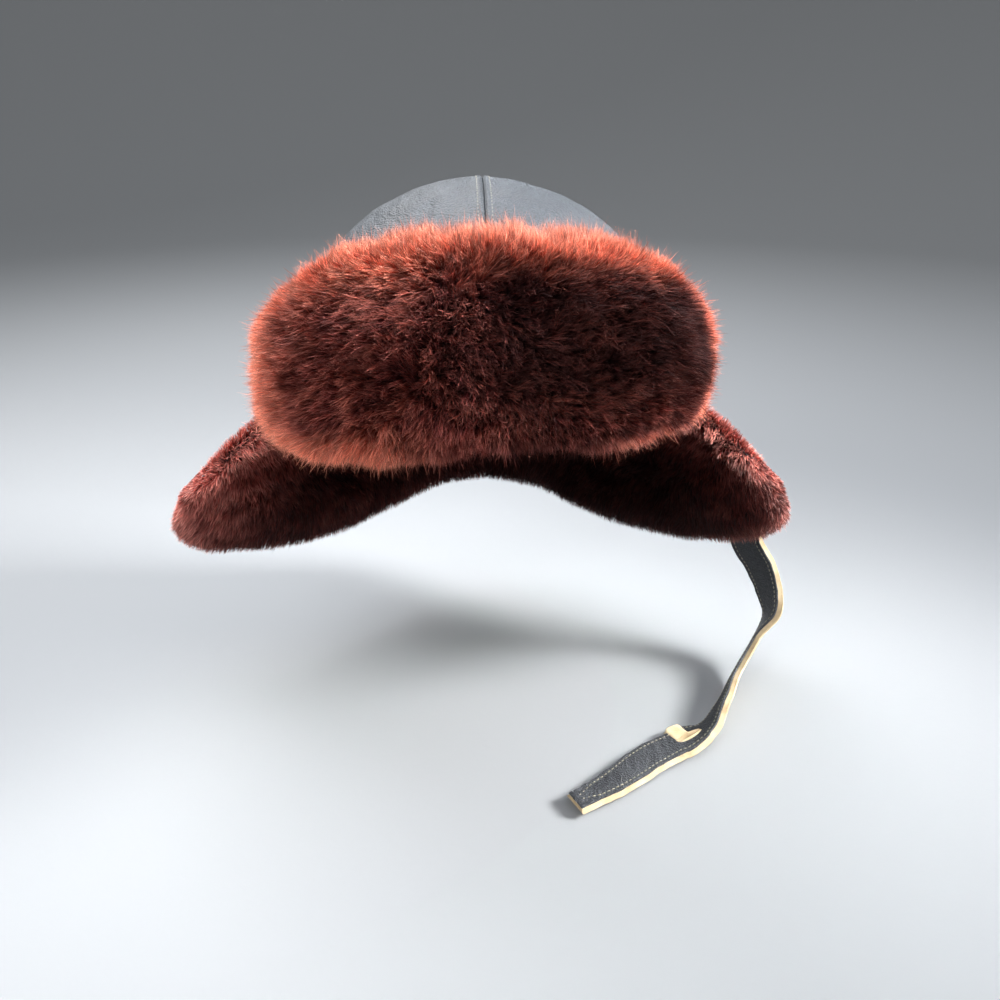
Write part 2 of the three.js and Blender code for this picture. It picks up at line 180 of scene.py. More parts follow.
def meshPiece(name, points, faces, material, slot, stands=(), maps=None, sharp=40, merge=False):
    # points in millimetres, faces as rows of 3 or 4 corners, maps as {name: two values per point}
    faces = np.asarray(faces, np.int32)
    size = faces.shape[1]
    mesh = bpy.data.meshes.new(name)
    mesh.vertices.add(len(points))
    mesh.vertices.foreach_set("co", (np.asarray(points) * millimetre).astype(np.float32).ravel())
    mesh.loops.add(faces.size)
    mesh.loops.foreach_set("vertex_index", faces.ravel())
    mesh.polygons.add(len(faces))
    mesh.polygons.foreach_set("loop_start", np.arange(0, faces.size, size, dtype=np.int32))
    mesh.polygons.foreach_set("loop_total", np.full(len(faces), size, np.int32))
    mesh.update(calc_edges=True)
    for mapName, values in (maps or {}).items():
        layer = mesh.uv_layers.new(name=mapName)
        layer.data.foreach_set("uv", np.asarray(values, np.float32)[faces.ravel()].ravel())
    if merge:
        form = bmesh.new()
        form.from_mesh(mesh)
        bmesh.ops.remove_doubles(form, verts=form.verts, dist=2e-6)
        bmesh.ops.dissolve_degenerate(form, edges=form.edges, dist=1e-7)
        bmesh.ops.recalc_face_normals(form, faces=form.faces)
        form.to_mesh(mesh)
        form.free()
    mesh.shade_smooth()
    if sharp:
        mesh.set_sharp_from_angle(angle=np.radians(sharp))
    mesh.materials.append(material)
    piece = newObject(name, mesh)
    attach(piece, "root")
    if stands:
        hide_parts(*stands)


def gridFaces(rows, columns, start=0):
    # one face for each cell of a grid of points, row by row
    i, j = np.meshgrid(np.arange(rows - 1), np.arange(columns - 1), indexing="ij")
    a = (start + i * columns + j).ravel()
    return np.stack([a, a + columns, a + columns + 1, a + 1], axis=1)


def closedShell(outer, inner):
    # two grids of points joined along their four borders
    rows, columns = outer.shape[:2]
    count = rows * columns
    index = np.arange(count).reshape(rows, columns)
    ring = np.concatenate([index[0, :-1], index[:-1, -1], index[-1, :0:-1], index[:0:-1, 0]])
    following = np.roll(ring, -1)
    front = gridFaces(rows, columns)
    back = gridFaces(rows, columns, count)[:, ::-1]
    side = np.stack([ring, following, following + count, ring + count], axis=1)
    return np.concatenate([outer.reshape(-1, 3), inner.reshape(-1, 3)]), np.concatenate([front, back, side])


# Materials. Pattern scales are in waves per metre and bump distances in metres. On a colour mix,
# input 0 is the factor, inputs 6 and 7 are the colours and output 2 is the result.

def softLeather(name, shades):
    # Black-blue sheep nappa, drum dyed and finished with a soft wax. The pebbled grain, about
    # 1 mm wide, sparkles where the light grazes it; soft slanting creases show where the skin
    # was stretched, and a broad sheen turns the lit side mid grey.
    material, tree = newMaterial(name)
    place = addNode(tree, "TexCoord").outputs["Object"]
    turned = addNode(tree, "Mapping", {
        "Vector": place, "Rotation": (0.3, 0.7, 0.5), "Scale": (1.0, 0.28, 1.0)})
    grain = addNode(tree, "TexVoronoi", {"Vector": place, "Scale": 950.0}, {"feature": "F1"})
    fine = addNode(tree, "TexNoise", {"Vector": place, "Scale": 1500.0})
    cloud = addNode(tree, "TexNoise", {"Vector": place, "Scale": 45.0, "Detail": 4.0})
    crease = addNode(tree, "TexNoise", {"Vector": turned, "Scale": 110.0, "Detail": 3.0})
    body = addNode(tree, "ValToRGB", {"Fac": cloud}, stops=zip((0.3, 0.7), shades))
    speck = addNode(tree, "ValToRGB", {"Fac": fine}, stops=[(0.4, "#808080"), (0.6, "#ffffff")])
    mixed = {"data_type": "RGBA", "blend_type": "MULTIPLY"}
    colour = addNode(tree, "Mix", {0: 0.8, 6: body, 7: speck}, mixed)
    rough = addNode(tree, "MapRange", {
        "Value": cloud, "From Min": 0.3, "From Max": 0.7, "To Min": 0.5, "To Max": 0.62})
    under = {}
    for height, strength, depth in ((crease, 0.8, 0.003), (grain, 0.7, 0.0006), (fine, 0.5, 0.0004)):
        sockets = {"Height": height, "Strength": strength, "Distance": depth, **under}
        under = {"Normal": addNode(tree, "Bump", sockets)}
    return finishMaterial(material, {
        "Base Color": colour.outputs[2], "Roughness": rough, "IOR": 1.5, "Specular IOR Level": 0.42, **under})


def plainFinish(name, size, detail, stops, bumpSize, bumpDetail, strength, depth, sockets):
    # one cloudy noise colours the material between two shades, and one bumps it
    material, tree = newMaterial(name)
    place = addNode(tree, "TexCoord").outputs["Object"]
    cloud = addNode(tree, "TexNoise", {"Vector": place, "Scale": size, "Detail": detail})
    nap = addNode(tree, "TexNoise", {"Vector": place, "Scale": bumpSize, "Detail": bumpDetail})
    colour = addNode(tree, "ValToRGB", {"Fac": cloud}, stops=stops)
    bump = addNode(tree, "Bump", {"Height": nap, "Strength": strength, "Distance": depth})
    return finishMaterial(material, {"Base Color": colour, "Normal": bump, **sockets})


def suedeHide():
    # The flesh side of a dyed sheepskin, buffed to suede: matt, with a nap about 1 mm long
    # that lies in patches.
    return plainFinish(
        "sheepSuede", 60.0, 3.0, [(0.3, "#6e3526"), (0.7, "#8a4a35")], 900.0, 3.0, 0.5, 0.0006,
        {"Roughness": 0.92, "Sheen Weight": 0.4})


def undercoat(name, shades):
    # The dense felted wool at the roots of the pile, near black: partly dyed darkest and partly painted shade
    # deep under the hair.
    return plainFinish(
        name, 500.0, 3.0, zip((0.35, 0.7), shades), 500.0, 3.0, 0.8, 0.001, {"Roughness": 0.95})


def tannedEdge():
    # Vegetable-tanned cowhide, cut and left raw: matt, tan, with fibres along the cut.
    return plainFinish(
        "rawCowhide", 90.0, 2.0, [(0.3, "#a8926f"), (0.7, "#c8b592")], 700.0, 4.0, 0.5, 0.0005,
        {"Roughness": 0.85})


def dyedPile(name, dark, rimGlow):
    # Sheared sheepskin dyed dark red brown. A hair is reddish at its tip and near black at its root,
    # which is partly dye and partly painted shade deep in the pile. The second ramp, rust to salmon,
    # is painted rim glow, where light from above and behind shines through the pile's edges. The map
    # strand has a random value and the place along the hair, the map patch has the share of painted rim glow
    # and the painted light and shade.
    material, tree = newMaterial(name)
    strand = addNode(tree, "UVMap", settings={"uv_map": "strand"})
    patch = addNode(tree, "UVMap", settings={"uv_map": "patch"})
    along = addNode(tree, "SeparateXYZ", {"Vector": strand}).outputs
    paintedPatch = addNode(tree, "SeparateXYZ", {"Vector": patch}).outputs
    darkHair = addNode(tree, "ValToRGB", {"Fac": along["Y"]}, stops=dark)
    rimGlowHair = addNode(tree, "ValToRGB", {"Fac": along["Y"]}, stops=rimGlow)
    hair = addNode(tree, "Mix", {0: paintedPatch["X"], 6: darkHair, 7: rimGlowHair}, {"data_type": "RGBA"})
    # a random brightness for each hair: partly its own tone and partly painted glints on a few hair ends
    chance = addNode(tree, "Math", {0: along["X"], 1: 2.2}, {"operation": "POWER"})
    toneAndGlint = addNode(tree, "MapRange", {"Value": chance, "To Min": 0.55, "To Max": 1.5})
    dim = addNode(tree, "Math", {0: toneAndGlint, 1: paintedPatch["Y"]}, {"operation": "MULTIPLY"})
    shade = addNode(tree, "HueSaturation", {"Color": hair.outputs[2], "Value": dim})
    return finishMaterial(material, {
        "Base Color": shade, "Roughness": 0.55, "IOR": 1.55, "Specular IOR Level": 0.25})


def sewingThread(name, shades):
    # Waxed polyester thread, three plies twisted together, light and dark by turns.
    material, tree = newMaterial(name)
    place = addNode(tree, "TexCoord").outputs["Object"]
    ply = addNode(tree, "TexNoise", {"Vector": place, "Scale": 1500.0})
    tone = addNode(tree, "ValToRGB", {"Fac": ply}, stops=zip((0.3, 0.7), shades))
    return finishMaterial(material, {"Base Color": tone, "Roughness": 0.6})


def mouldedButton():
    # Black polyester button, moulded and tumbled: soft gloss with faint marks.
    material, tree = newMaterial("polyesterButton")
    place = addNode(tree, "TexCoord").outputs["Object"]
    cloud = addNode(tree, "TexNoise", {"Vector": place, "Scale": 400.0, "Detail": 3.0})
    colour = addNode(tree, "ValToRGB", {"Fac": cloud}, stops=[(0.3, "#16161a"), (0.7, "#232327")])
    rough = addNode(tree, "MapRange", {"Value": cloud, "To Min": 0.25, "To Max": 0.45})
    return finishMaterial(material, {"Base Color": colour, "Roughness": rough, "IOR": 1.54})


nappa = softLeather("nappaLeather", ("#3a3e43", "#4b5056"))
# the strap's nappa is a darker copy of the crown's: painted shade of the flap above it
shadedStrapNappa = softLeather("shadedStrapNappa", ("#303236", "#404347"))
suede = suedeHide()
wool = undercoat("feltedWool", ("#0a0404", "#210b08"))
liningWool = undercoat("liningWool", ("#1c0a09", "#3e1714"))
visorDye = dyedPile(
    "dyedSheepskin",
    [(0.0, "#0a0306"), (0.5, "#20070a"), (0.74, "#6c1f20"), (1.0, "#dc7e72")],
    [(0.0, "#5a130d"), (0.45, "#b83520"), (1.0, "#ffab8c")])
flapDye = dyedPile(
    "dyedLining",
    [(0.0, "#170808"), (0.45, "#5a1e1b"), (1.0, "#b45a50")],
    [(0.0, "#5a1e1b"), (0.45, "#b8544a"), (1.0, "#f4ae9e")])
rawTan = tannedEdge()
# dark short spindles between the crown's stitches: painted shade in the needle holes
needleHoleShade = sewingThread("paintedHoleShade", ("#1c1e20", "#2c2f31"))
waxedThread = sewingThread("waxedThread", ("#63625b", "#87847a"))
paleThread = sewingThread("undyedThread", ("#77735f", "#9c9683"))
buttonFinish = mouldedButton()
print("materials made")


# The crown.

crown = {
    "halfWidth": 88, "halfLength": 102, "domeHeight": 75, "wall": 3,
    "edgeMiddle": -100, "edgeSlope": 0.12,
    "seamDip": -0.5, "seamDipWidth": 6,
    # x, y, depth and radius
    "dents": [
        (-38, -46, 1.6, 17), (34, -52, 1.4, 15), (30, 18, 2.0, 24), (-46, 34, 1.8, 22), (-8, 62, 1.5, 20),
    ],
    "grooveDepth": 0.9, "grooveWidth": 0.6, "weltRise": 0.28, "weltPlace": 1.6, "weltWidth": 0.9,
    "stitchPlace": 2.9, "foldDepth": 0.9, "foldSize": 26, "columns": 112, "rows": 72,
}
widestZ = crown["wall"] - crown["domeHeight"]
stitch = {"pitch": 3.0, "length": 2.1, "radius": 0.38, "sink": 0.24}


def edgeZ(angle):
    # the lower edge slopes a little from the brow to the nape
    return crown["edgeMiddle"] - crown["edgeSlope"] * (-crown["halfLength"] * np.cos(angle))


def overCrown(angle, z, outward):
    # the crown's half ellipsoid on its upright wall, moved out: place and outward direction
    a, b, c = (crown[k] + outward for k in ("halfWidth", "halfLength", "domeHeight"))
    rise = np.maximum(0, z - widestZ) / c
    inset = np.sqrt(np.maximum(0, 1 - rise**2))
    x, y = a * inset * np.sin(angle), -b * inset * np.cos(angle)
    return pointsOf(x, y, z), unit(pointsOf(x / a**2, y / b**2, rise / c))


def crownPoint(angle, t, outward):
    # t is 0 at the apex, 1 at the widest level and 2 at the lower edge
    tilt = np.minimum(t, 1) * np.pi / 2
    x = (crown["halfWidth"] + outward) * np.sin(tilt) * np.sin(angle)
    y = -(crown["halfLength"] + outward) * np.sin(tilt) * np.cos(angle)
    edge = edgeZ(angle)
    dome = widestZ + (crown["domeHeight"] + outward) * np.cos(tilt)
    return pointsOf(x, y, np.where(t <= 1, dome, widestZ + (t - 1) * (edge - widestZ)))


def crownSink(side, plain, t):
    # the wide dip along the seam, the dents, and the fine folds of soft leather
    x, y, z = side * plain[..., 0], plain[..., 1], plain[..., 2]
    sink = crown["seamDip"] * bell(x, crown["seamDipWidth"])
    for dentX, dentY, depth, radius in crown["dents"]:
        sink = sink + depth * np.exp(-((x - dentX) ** 2 + (y - dentY) ** 2) / radius**2)
    sink = sink * np.where(t > 1, 2 - t, 1)
    size = crown["foldSize"]
    fold = softNoise(x + 0.5 * z + 400, y - 0.4 * z + 400, size, 3)
    fold = fold + 0.4 * softNoise(x * 1.6 - y + 900, y + z + 900, size / 2.4, 4)
    return sink + crown["foldDepth"] * fold * (1 - bell(x, 8))


def crownSeam(x):
    # the turned-in edge of the panel and the soft welt beside it
    groove = crown["grooveDepth"] * bell(x, crown["grooveWidth"])
    welt = crown["weltRise"] * bell(np.abs(x) - crown["weltPlace"], crown["weltWidth"])
    row = 0.22 * bell(np.abs(x) - crown["stitchPlace"], 0.6)
    return groove - welt + row


def crownOuter(side, angle, t):
    # the plain crown less its dips, folds and seam
    plain = crownPoint(angle, t, 0)
    return crownPoint(angle, t, -crownSink(side, plain, t) - crownSeam(plain[..., 0]))


def crownPanel(side):
    # an outer and an inner grid, closer together near the seam and the lower edge
    s = np.linspace(-1, 1, crown["columns"] + 1)
    angle = (np.pi / 2 * (1 + np.sign(s) * (1 - (1 - np.abs(s)) ** 1.8)))[:, None]
    t = 2 * np.linspace(0, 1, crown["rows"] + 1)[None, :]
    t = np.where(t > 1.9, 1.9 + 0.1 * smoothstep(t, 1.8, 2.0), t)
    outer = crownOuter(side, angle, t)
    plain = crownPoint(angle, t, 0)
    inner = crownPoint(angle, t, -crown["wall"] - crownSink(side, plain, t))
    close = edgeRound((2 - t) * 30, 1.4)[..., None]
    away = unit(outer - inner)
    outer, inner = outer - away * close, inner + away * close
    shell, faces = closedShell(outer, inner)
    name, shell = sideNames[side], ontoSide(shell, side)
    stands = [f"crown_panel_{name}"]
    meshPiece(f"crown_{name}_leather", shell, faces, nappa, "crown_leather", stands, merge=True)


def stitchRow(path, out, length=stitch["length"], radius=stitch["radius"], pitch=stitch["pitch"], shift=0):
    # one thread loop after another along a path: a four-sided spindle, flat and bent into the leather
    step = sizeOf(np.diff(path, axis=0))
    run = np.concatenate([[0], np.cumsum(step)])
    count = int((run[-1] - length) // pitch)
    start = np.arange(count) * pitch + (run[-1] - (count - 1) * pitch - length) / 2 + shift
    share = np.array([0, 0.15, 0.5, 0.85, 1.0])
    thick = np.array([0.35, 0.85, 1.05, 0.85, 0.35])
    dip = np.array([1.0, 0.4, 0.0, 0.4, 1.0])
    at = start[:, None] + share * length
    centre = np.stack([np.interp(at, run, path[:, k]) for k in range(3)], axis=-1)
    normal = unit(np.stack([np.interp(at, run, out[:, k]) for k in range(3)], axis=-1))
    along = unit(np.gradient(centre, axis=1))
    across = unit(np.cross(normal, along))
    centre = centre + normal * (radius * 0.45 - (dip * (radius + stitch["sink"]))[:, None])
    turn = np.linspace(0, 2 * np.pi, 4, endpoint=False) + np.pi / 4
    ring = across[:, :, None] * np.cos(turn)[:, None] + 0.8 * normal[:, :, None] * np.sin(turn)[:, None]
    points = centre[:, :, None] + ring * (radius * thick)[:, None, None]
    rings, sides = len(share), len(turn)
    i, j = np.meshgrid(np.arange(rings - 1), np.arange(sides), indexing="ij")
    nextSide = (j + 1) % sides
    corners = (i * sides + j, (i + 1) * sides + j, (i + 1) * sides + nextSide, i * sides + nextSide)
    one = np.stack(corners, axis=-1).reshape(-1, 4)
    first = np.array([[0, 1, 2, 3]])
    last = (rings - 1) * sides + first[:, ::-1]
    one = np.concatenate([one, first, last])
    faces = (one[None] + (np.arange(count) * rings * sides)[:, None, None]).reshape(-1, 4)
    return points.reshape(-1, 3), faces


def joinRows(rows):
    # several rows of stitches as one list of points and one of faces
    points, faces, start = [], [], 0
    for rowPoints, rowFaces in rows:
        points.append(rowPoints)
        faces.append(rowFaces + start)
        start += len(rowPoints)
    return np.concatenate(points), np.concatenate(faces)


def crownStitches():
    # two rows beside the seam, from the brow over the top to the nape
    rows, holeShades = [], []
    for side in (-1, 1):
        lean = np.linspace(-1, 1, 900)
        t = 1.98 * np.abs(lean)
        tilt = np.minimum(t, 1) * np.pi / 2
        reach = crown["halfWidth"] * np.maximum(np.sin(tilt), 0.031)
        angle = np.arcsin(np.clip(crown["stitchPlace"] / reach, -1, 1))
        angle = np.where(lean < 0, angle, np.pi - angle)
        path = crownOuter(side, angle, t)
        keep = np.abs(path[:, 0] - crown["stitchPlace"]) < 0.4
        path = path[keep]
        out = overCrown(angle[keep], path[:, 2], 0)[1] * [side, 1, 1]
        path = ontoSide(path, side)
        rows.append(stitchRow(path, out))
        # between each two stitches a short dark spindle: painted shade in the needle hole
        holeShades.append(stitchRow(path, out, 1.0, 0.4, shift=stitch["pitch"] / 2))
    meshPiece("crown_stitches", *joinRows(rows), waxedThread, "crown_leather", sharp=0)
    meshPiece("crown_needle_hole_shade", *joinRows(holeShades), needleHoleShade, "crown_leather", sharp=0)


for side in (-1, 1):
    crownPanel(side)
crownStitches()
print("crown made")


# The visor.

# angle, lowest level, highest level and depth of the visor's pile
visorSections = [
    (-80, -87, -79, 4), (-76, -93, -65, 16), (-70, -111, -53, 24.5), (-58, -111, -38, 27),
    (-40, -105, -21, 32.5), (-20, -100, -15, 26.5), (0, -93, -13, 27), (20, -95, -15, 28),
    (40, -97, -20, 33), (58, -101, -37, 26.5), (70, -103, -51, 21), (76, -93, -64, 15),
    (80, -87, -79, 4),
]
visorHide = {"clearance": 0.6, "wall": 2.2, "lipDepth": 5, "endAngle": 70, "columns": 60, "rows": 28}
visorPile = {
    "squareness": 3.6, "overhang": 11, "lean": 0.3, "sideLean": -0.15,
    "under": 10, "past": 3.4, "columns": 220, "rows": 110, "strands": 165000, "parts": 3, "width": 0.34,
    "tuft": 1.5, "tuftPull": 1.0, "lockSize": 7, "lockPull": 0.12, "flowSize": 30, "flowTilt": 0.26,
    "stray": 0.1, "tuftCurl": 0.36, "lockCurl": 0.12, "droop": 0.04, "uneven": 0.2, "lump": 2.3,
    "guardShare": 0.08, "guardReach": 5.5, "tuftTone": 1.25, "lockTone": 0.3, "seed": 11,
}


def visorPanel():
    # a hide that starts under the brow edge and turns up over it
    end = visorHide["endAngle"]
    angle = np.radians(np.linspace(-end, end, visorHide["columns"] + 1))[:, None]
    top = rowAt(visorSections, np.degrees(angle))[2] - visorPile["overhang"]
    fold = edgeZ(angle) - touchGap
    f = np.linspace(0, 1, visorHide["rows"] + 1)[None, :]
    grids = []
    for thick in (1, 0):
        low = fold - thick * visorHide["wall"]
        sheet = overCrown(angle, lerp(low, top, f), visorHide["clearance"] + thick * visorHide["wall"])[0]
        lip = overCrown(angle, low, -visorHide["lipDepth"])[0]
        grids.append(np.concatenate([lip, sheet], axis=1))
    points, faces = closedShell(*grids)
    meshPiece("visor_suede", points, faces, suede, "raw_hide", ["visor_hide"], merge=True)


def visorSurface(across, up, under):
    # half a squared ellipse on each meridian, from the lowest to the highest level of the pile,
    # drawn in by the depth that the loose hair takes
    eased = across - np.sin(2 * np.pi * across) * 0.035
    degrees = lerp(visorSections[0][0], visorSections[-1][0], eased)
    _, bottom, top, depth = rowAt(visorSections, degrees)
    angle = np.radians(degrees)
    middle, half = (top + bottom) / 2, (top - bottom) / 2
    turn = np.pi * (up - 0.5)
    power = 2 / visorPile["squareness"]
    level = np.sign(np.sin(turn)) * np.abs(np.sin(turn)) ** power
    bulge = np.abs(np.cos(turn)) ** power
    half = np.maximum(half - under * np.abs(level) ** 3, half * 0.4)
    depth = np.maximum(depth - under, depth * 0.3)
    back = visorHide["clearance"] + visorHide["wall"] + touchGap
    base, normal = overCrown(angle, middle + half * level, back)
    lean = lerp(visorPile["lean"], visorPile["sideLean"], np.sin(angle) ** 2)
    lean = np.broadcast_to(lean, base.shape[:-1])
    away = normal * [1, 1, 0]
    away = unit(unit(away) + lean[..., None] * [0, 0, 1])
    return base + away * (depth * bulge)[..., None], base


def growPile(tips, roots, pile, rimGlow, paintedLight, brush=None):
    # Hairs stand between two surfaces that share one grid. Each is a flat blade of two joints
    # that narrows to a point and turns from upright at its root to bent over at its tip.
    # Hairs near the same random centre lean towards it, at two sizes, and the whole pile
    # sways with a soft noise, or as it is brushed.
    rng = np.random.default_rng(pile["seed"])
    rows, columns = tips.shape[:2]
    gap = sizeOf(np.diff(tips, axis=0))
    s = np.concatenate([[0], np.cumsum(gap[:, columns // 2])])[:, None] * np.ones((1, columns))
    gap = sizeOf(np.diff(tips, axis=1))
    t = np.concatenate([np.zeros((rows, 1)), np.cumsum(gap, axis=1)], axis=1)
    alongS, alongT = unit(np.gradient(tips, axis=0)), unit(np.gradient(tips, axis=1))
    a, b = tips[1:, 1:] - tips[:-1, :-1], tips[:-1, 1:] - tips[1:, :-1]
    weight = (sizeOf(np.cross(a, b)) / 2).ravel()
    count = pile["strands"]
    cell = np.searchsorted(np.cumsum(weight) / weight.sum(), rng.random(count))
    i, j = np.divmod(np.minimum(cell, weight.size - 1), columns - 1)
    f, g = rng.random(count), rng.random(count)

    def at(grid):
        # between the four corners of each hair's cell
        u, v = (f, g) if grid.ndim == 2 else (f[:, None], g[:, None])
        return lerp(lerp(grid[i, j], grid[i + 1, j], u), lerp(grid[i, j + 1], grid[i + 1, j + 1], u), v)

    root, reach, sDir, tDir = at(roots), at(tips - roots), at(alongS), at(alongT)
    sAt, tAt = at(s), at(t)

    def nearestCentre(size, seed):
        # jittered lattice points: the offset to the nearest, and its random values
        jitter = np.random.default_rng(seed).random((5, 256, 256))
        best = np.full(count, 1e9)
        found = [np.zeros(count)] * 5
        cs, ct = np.floor(sAt / size).astype(int), np.floor(tAt / size).astype(int)
        for stepS in (-1, 0, 1):
            for stepT in (-1, 0, 1):
                p, q = (cs + stepS) % 256, (ct + stepT) % 256
                offS = (cs + stepS + jitter[0, p, q]) * size - sAt
                offT = (ct + stepT + jitter[1, p, q]) * size - tAt
                near = offS**2 + offT**2
                closer = near < best
                best = np.where(closer, near, best)
                fresh = (offS, offT, jitter[2, p, q], 2 * jitter[3, p, q] - 1, 2 * jitter[4, p, q] - 1)
                found = [np.where(closer, x, y) for x, y in zip(fresh, found)]
        return found

    tuftS, tuftT, tuftTone, tuftLeanS, tuftLeanT = nearestCentre(pile["tuft"], pile["seed"] + 1)
    lockS, lockT, lockTone, lockLeanS, lockLeanT = nearestCentre(pile["lockSize"], pile["seed"] + 2)
    noise = lambda size, k: softNoise(sAt, tAt, size, pile["seed"] + k)
    flow = pile["flowSize"]
    swayS, swayT = (noise(flow, k) + 0.6 * noise(flow / 2.7, k + 1) for k in (3, 5))
    length = sizeOf(reach)
    uneven = pile["uneven"] * (0.6 * tuftTone + 0.6 * lockTone - 0.5)
    length = length * (0.9 + 0.16 * rng.random(count) + uneven)
    lump = noise(15, 7) + 0.8 * noise(5, 8)
    length = length + (pile["past"] + pile["lump"] * lump) * smoothstep(length, 2, 6)
    guard = rng.random(count) < pile["guardShare"]
    extra = pile["guardReach"] * (0.25 + 0.75 * rng.random(count) ** 2)
    length = np.where(guard, length + extra, length)
    tuftPull, lockPull, flowTilt = pile["tuftPull"], pile["lockPull"], pile["flowTilt"]
    bendS = (tuftPull * tuftS + lockPull * lockS) / length + flowTilt * swayS
    bendT = (tuftPull * tuftT + lockPull * lockT) / length + flowTilt * swayT
    bend = sDir * bendS[:, None] + tDir * bendT[:, None] - [0, 0, pile["droop"]]
    if brush is not None:
        bend = bend + at(brush)
    bend = bend + rng.normal(0, 1, (count, 3)) * np.where(guard, 1.6, 1.0)[:, None] * pile["stray"]
    upright = unit(reach)
    curlS = pile["tuftCurl"] * tuftLeanS + pile["lockCurl"] * lockLeanS
    curlT = pile["tuftCurl"] * tuftLeanT + pile["lockCurl"] * lockLeanT
    curl = sDir * curlS[:, None] + tDir * curlT[:, None]
    lower, upper = unit(upright + 0.3 * bend - 0.35 * curl), unit(upright + 1.2 * bend + 1.3 * curl)
    joint = root + lower * (length * 0.52)[:, None]
    tip = joint + upper * (length * 0.52)[:, None]
    blade = unit(np.cross(lower, rng.normal(0, 1, (count, 3))))
    half = blade * (pile["width"] / 2 * (0.7 + 0.6 * rng.random(count)))[:, None]
    points = np.stack([root - half, root + half, joint - half * 0.85, joint + half * 0.85, tip], axis=1)
    strand = np.zeros((count, 5, 2))
    strand[..., 0] = rng.random(count)[:, None]
    strand[..., 1] = [0, 0, 0.5, 0.5, 1]
    # the patch map: the share of painted rim glow, and the painted light and shade times a random tone for
    # each tuft and lock
    patch = np.zeros((count, 5, 2))
    patchy = 0.2 * noise(14, 9) + 0.16 * noise(5, 10)
    share = at(rimGlow) + 0.25 * (tuftTone - 0.5) + 0.25 * (lockTone - 0.5) + patchy * np.sqrt(at(rimGlow))
    patch[..., 0] = np.clip(share, 0, 1)[:, None]
    glow = 1 + pile["tuftTone"] * (tuftTone**2 - 0.33) + pile["lockTone"] * (lockTone - 0.5)
    patch[..., 1] = np.clip(at(paintedLight) * glow, 0.05, 1.3)[:, None]
    return points, strand, patch


def pilePieces(name, grown, material, slot, stands, parts, order=None):
    # the hairs as one or more joined meshes, split along the given order
    points, strand, patch = grown
    order = np.arange(len(points)) if order is None else order
    for k, chosen in enumerate(np.array_split(order, parts)):
        one = np.array([[0, 1, 3], [0, 3, 2], [2, 3, 4]])
        faces = (one[None] + (np.arange(len(chosen)) * 5)[:, None, None]).reshape(-1, 3)
        maps = {"strand": strand[chosen].reshape(-1, 2), "patch": patch[chosen].reshape(-1, 2)}
        label = name if parts == 1 else f"{name}_{k + 1}"
        meshPiece(label, points[chosen].reshape(-1, 3), faces, material, slot, stands, maps, sharp=0)


def visorCoat():
    # the undercoat and the hairs of the visor, with their zones of colour, painted rim glow and painted light
    # and shade
    across, up = shareGrid((0, 1), visorPile["columns"] + 1, (0, 1), visorPile["rows"] + 1)
    up = lerp(0.003, 0.997, 0.5 - 0.5 * np.cos(np.pi * up))
    tips, _ = visorSurface(across, up, 0)
    roots, _ = visorSurface(across, up, visorPile["under"])
    coarse = visorSurface(across[::2, ::2], up[::2, ::2], visorPile["under"])
    points, faces = closedShell(*coarse)
    meshPiece("visor_undercoat", points, faces, wool, "fur", ["visor_fur"], merge=True)
    # painted rim glow along the top and both ends, where light from above and behind catches the pile's
    # edges; a little on the left half, brown tufts low on the left and a pale line low on the right take the
    # same glowing ramp
    top = smoothstep(up + 0.03 * softNoise(across * 240, up * 60, 22, 31), 0.56, 0.8)
    leftEnd = smoothstep(0.32 - across, 0, 0.16)
    rightEnd = smoothstep(across - 0.75, 0, 0.1)
    lowLeft = 0.75 * smoothstep(0.5 - across, 0, 0.18) * smoothstep(0.42 - up, 0, 0.2)
    lowRight = 0.5 * smoothstep(across, 0.58, 0.7) * smoothstep(0.27 - up, 0, 0.12)
    leftHalf = 0.14 * smoothstep(0.55 - across, 0, 0.2)
    rimGlow = np.clip(top + leftEnd + rightEnd + lowLeft + lowRight + leftHalf, 0, 1)
    # painted light and shade: lighter on the left and low on the left, darker over the right half, lighter at
    # the ends, the rims and low on the right, with patches of light low on the left
    paintedLight = lerp(1.0, 0.26, smoothstep(across, 0.43, 0.53))
    paintedLight = paintedLight * lerp(0.8, 1.35, smoothstep(0.5 - up, -0.1, 0.25) * smoothstep(0.5 - across, 0, 0.15))
    # painted shade on the back of the pile towards the crown, where the painted rim glow is also weaker
    back = smoothstep(up, 0.86, 0.97)
    paintedLight = lerp(paintedLight, 0.92, np.clip(top + rightEnd + lowRight, 0, 1)) * lerp(1, 0.5, back)
    rimGlow = rimGlow * lerp(1, 0.6, back)
    # painted shade on the ends' backs, with less painted rim glow there
    endShade = smoothstep(np.abs(across - 0.5), 0.44, 0.48)  # the ends' backs, out of the light
    paintedLight = paintedLight * (1 + 0.6 * leftEnd + 0.9 * rightEnd) * lerp(1, 0.35, endShade)
    paintedLight = paintedLight * (1 + 1.5 * smoothstep(0.5 - up, 0, 0.2) * smoothstep(across, 0.42, 0.5))
    paintedLight = paintedLight * (1 + lowLeft * (0.3 + 1.6 * softNoise(across * 240, up * 70, 7, 33)))
    rimGlow = rimGlow * lerp(1, 0.55, endShade)
    grown = growPile(tips, roots, visorPile, rimGlow, paintedLight)
    order = np.argsort(grown[0][:, 0, 0], kind="stable")
    pilePieces("visor_pile", grown, visorDye, "fur", ["visor_fur"], visorPile["parts"], order)


visorPanel()
visorCoat()
print("visor made")


# The flaps.

